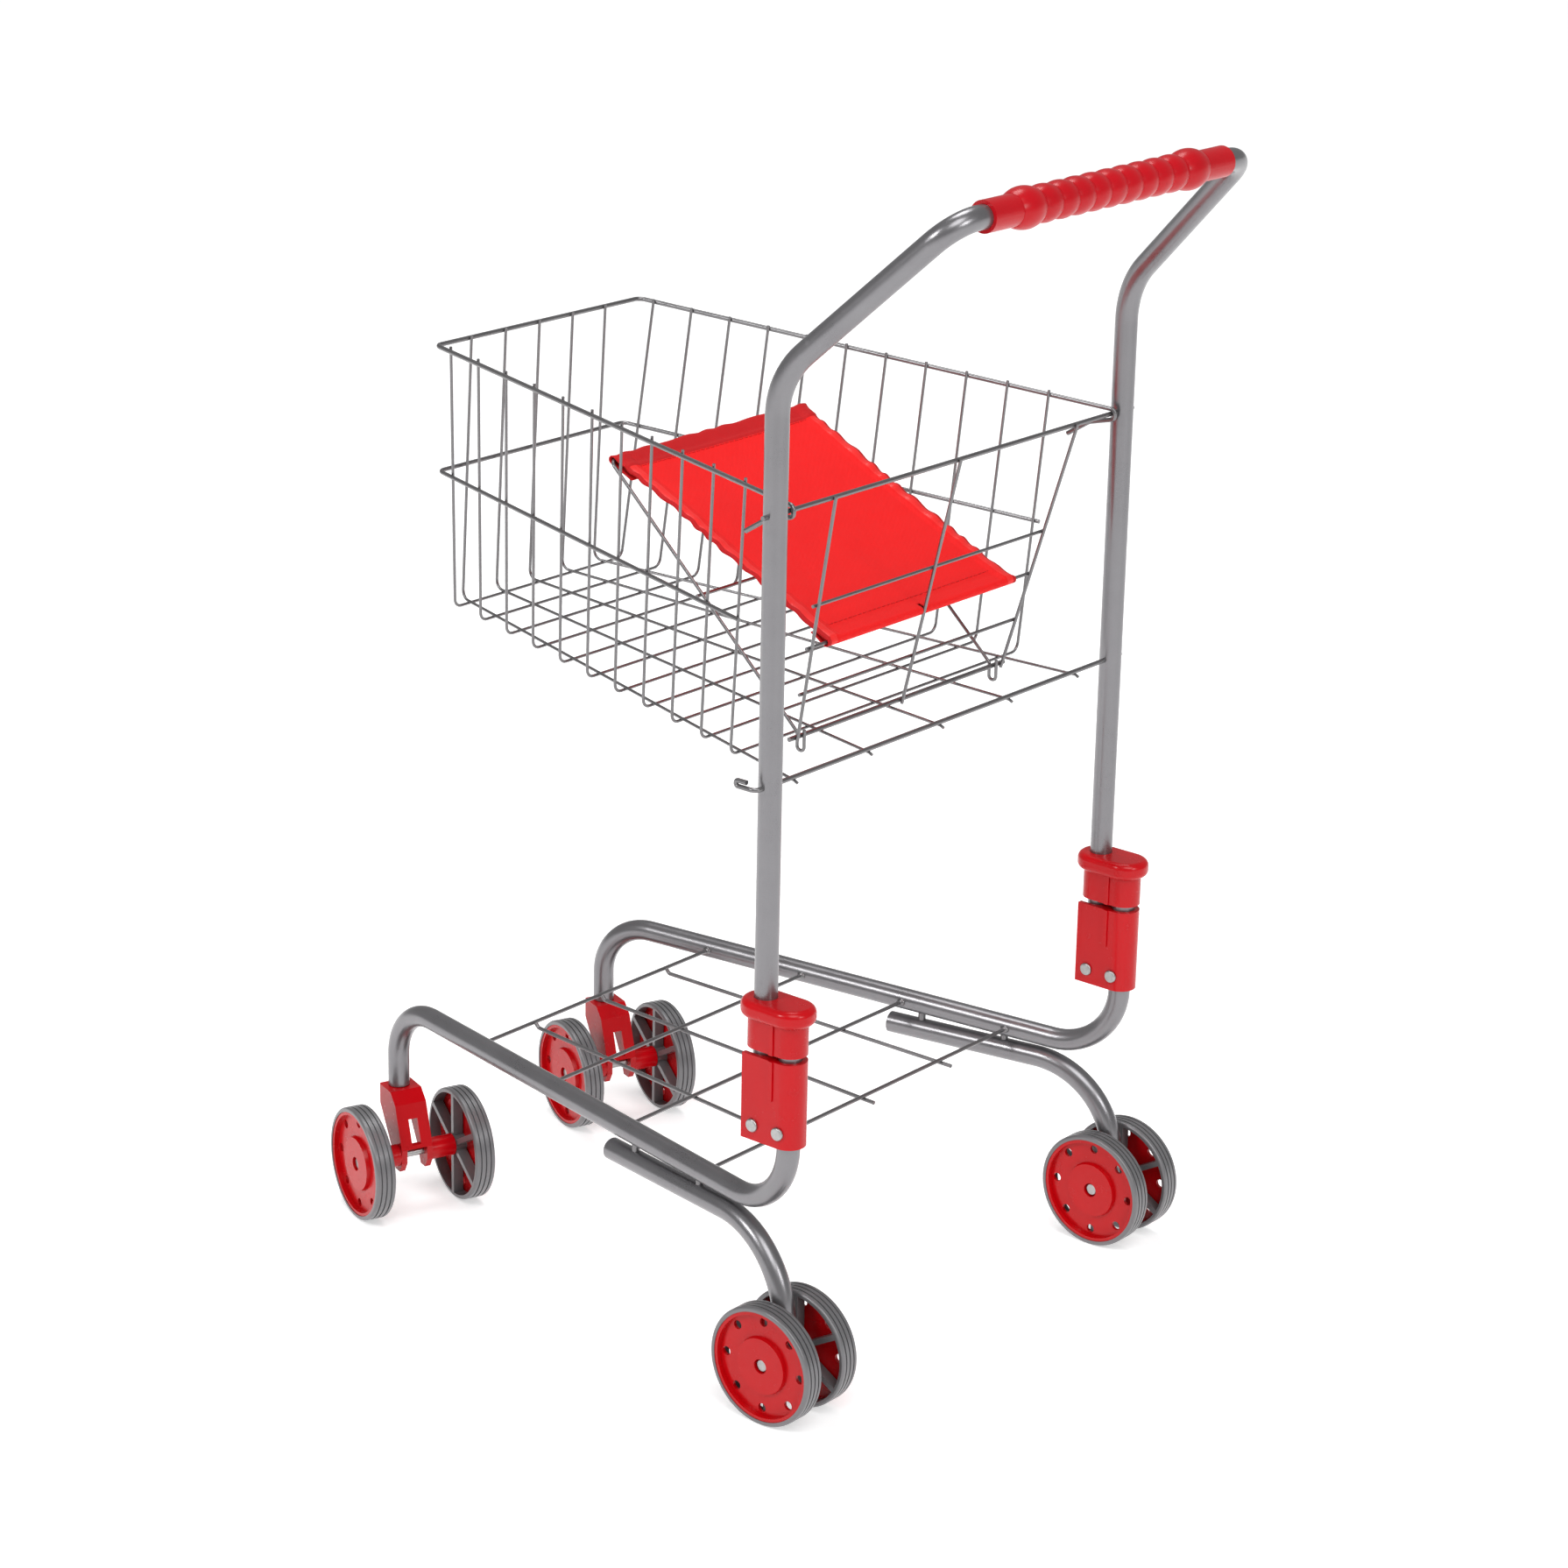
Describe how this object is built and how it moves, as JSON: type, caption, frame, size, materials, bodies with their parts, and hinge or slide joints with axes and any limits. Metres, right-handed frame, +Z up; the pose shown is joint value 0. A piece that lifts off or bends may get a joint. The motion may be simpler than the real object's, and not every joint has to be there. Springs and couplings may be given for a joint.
{
  "type": "toy shopping cart",
  "caption": "Folding toy shopping cart: tubular steel frame on twin wheels, a tapered wire basket with a swinging gate and a cloth doll seat, a low wire rack and a beaded grip.",
  "frame": {"origin": "on the floor, under the middle of the cart's length and width", "axes": "+Z up, +Y from the basket's nose towards the person pushing, +X to the cart's left"},
  "size_m": [0.2874, 0.3843, 0.5582],
  "materials": {
    "tube_paint": "satin light grey paint",
    "wire_paint": "satin grey coating",
    "bare_steel": "bright",
    "red_plastic": "semi-gloss",
    "disc_plastic": "semi-gloss",
    "wheel_plastic": "satin",
    "grip_vinyl": "soft satin vinyl",
    "seat_cloth": "plain woven, with stitched hems"
  },
  "bodies": {
    "base": {"base_rail_left": "tube_paint", "base_rail_right": "tube_paint", "bracket_left": "red_plastic", "bracket_right": "red_plastic", "fixing_rivets": "bare_steel", "pivot_rivets": "bare_steel", "rack_cross_wires": "wire_paint", "rack_long_wires": "wire_paint", "rear_axles": "bare_steel", "rear_leg_left": "tube_paint", "rear_leg_right": "tube_paint", "weld_nubs": "wire_paint"},
    "handle": {"basket_front_wires": "wire_paint", "basket_mid_rail": "wire_paint", "basket_rear_rod": "wire_paint", "basket_ribs": "wire_paint", "basket_rim": "wire_paint", "grip": "grip_vinyl", "handle_bow": "tube_paint", "post_left": "tube_paint", "post_right": "tube_paint"},
    "collar_left": {"collar_left": "red_plastic"},
    "collar_right": {"collar_right": "red_plastic"},
    "gate": {"gate_rod": "wire_paint", "gate_uprights": "wire_paint", "gate_cross_wires": "wire_paint", "gate_bottom_wire": "wire_paint"},
    "seat": {"seat_frame": "wire_paint", "seat_sling": "seat_cloth"},
    "caster_left": {"caster_fork_left": "red_plastic", "caster_stem_left": "bare_steel", "axle_sleeves_left": "red_plastic", "front_axle_left": "bare_steel"},
    "rear_left_outer": {"rear_wheel_left_outer": "wheel_plastic", "rear_disc_left_outer": "disc_plastic"},
    "front_left_outer": {"front_wheel_left_outer": "wheel_plastic", "front_disc_left_outer": "disc_plastic"},
    "rear_left_inner": {"rear_wheel_left_inner": "wheel_plastic", "rear_disc_left_inner": "disc_plastic"},
    "front_left_inner": {"front_wheel_left_inner": "wheel_plastic", "front_disc_left_inner": "disc_plastic"},
    "caster_right": {"caster_fork_right": "red_plastic", "caster_stem_right": "bare_steel", "axle_sleeves_right": "red_plastic", "front_axle_right": "bare_steel"},
    "rear_right_outer": {"rear_wheel_right_outer": "wheel_plastic", "rear_disc_right_outer": "disc_plastic"},
    "front_right_outer": {"front_wheel_right_outer": "wheel_plastic", "front_disc_right_outer": "disc_plastic"},
    "rear_right_inner": {"rear_wheel_right_inner": "wheel_plastic", "rear_disc_right_inner": "disc_plastic"},
    "front_right_inner": {"front_wheel_right_inner": "wheel_plastic", "front_disc_right_inner": "disc_plastic"}
  },
  "joints": [
    {"name": "handle_fold", "type": "hinge", "parent": "base", "child": "handle", "pos_m": [0, 0.10895, 0.1393], "axis": [1, 0, 0], "range_deg": [0, 38]},
    {"name": "collar_left_slide", "type": "slide", "parent": "handle", "child": "collar_left", "axis": [0, 0, 1], "range_m": [-0.0029, 0.09]},
    {"name": "collar_right_slide", "type": "slide", "parent": "handle", "child": "collar_right", "axis": [0, 0, 1], "range_m": [-0.0029, 0.09]},
    {"name": "gate_swing", "type": "hinge", "parent": "handle", "child": "gate", "pos_m": [0, 0.10895, 0.417], "axis": [-1, 0, 0], "range_deg": [0, 85]},
    {"name": "seat_fold", "type": "hinge", "parent": "gate", "child": "seat", "pos_m": [0, 0.08038, 0.29891], "axis": [-1, 0, 0], "range_deg": [0, 50], "deforming": ["seat_sling"]},
    {"name": "caster_left_swivel", "type": "hinge", "parent": "base", "child": "caster_left", "pos_m": [0.076, -0.16905, 0.07], "axis": [0, 0, 1], "continuous": true},
    {"name": "rear_wheel_left_outer_spin", "type": "hinge", "parent": "base", "child": "rear_left_outer", "pos_m": [0.13848, 0.12336, 0.0285], "axis": [1, 0, 0], "continuous": true},
    {"name": "front_wheel_left_outer_spin", "type": "hinge", "parent": "caster_left", "child": "front_left_outer", "pos_m": [0.10672, -0.16398, 0.0285], "axis": [0.9367, -0.3502, 0], "continuous": true},
    {"name": "rear_wheel_left_inner_spin", "type": "hinge", "parent": "base", "child": "rear_left_inner", "pos_m": [0.11348, 0.12336, 0.0285], "axis": [1, 0, 0], "continuous": true},
    {"name": "front_wheel_left_inner_spin", "type": "hinge", "parent": "caster_left", "child": "front_left_inner", "pos_m": [0.05614, -0.14507, 0.0285], "axis": [0.9367, -0.3502, 0], "continuous": true},
    {"name": "caster_right_swivel", "type": "hinge", "parent": "base", "child": "caster_right", "pos_m": [-0.076, -0.16905, 0.07], "axis": [0, 0, 1], "continuous": true},
    {"name": "rear_wheel_right_outer_spin", "type": "hinge", "parent": "base", "child": "rear_right_outer", "pos_m": [-0.13848, 0.12336, 0.0285], "axis": [1, 0, 0], "continuous": true},
    {"name": "front_wheel_right_outer_spin", "type": "hinge", "parent": "caster_right", "child": "front_right_outer", "pos_m": [-0.09586, -0.14507, 0.0285], "axis": [0.9367, -0.3502, 0], "continuous": true},
    {"name": "rear_wheel_right_inner_spin", "type": "hinge", "parent": "base", "child": "rear_right_inner", "pos_m": [-0.11348, 0.12336, 0.0285], "axis": [1, 0, 0], "continuous": true},
    {"name": "front_wheel_right_inner_spin", "type": "hinge", "parent": "caster_right", "child": "front_right_inner", "pos_m": [-0.04528, -0.16398, 0.0285], "axis": [0.9367, -0.3502, 0], "continuous": true}
  ]
}
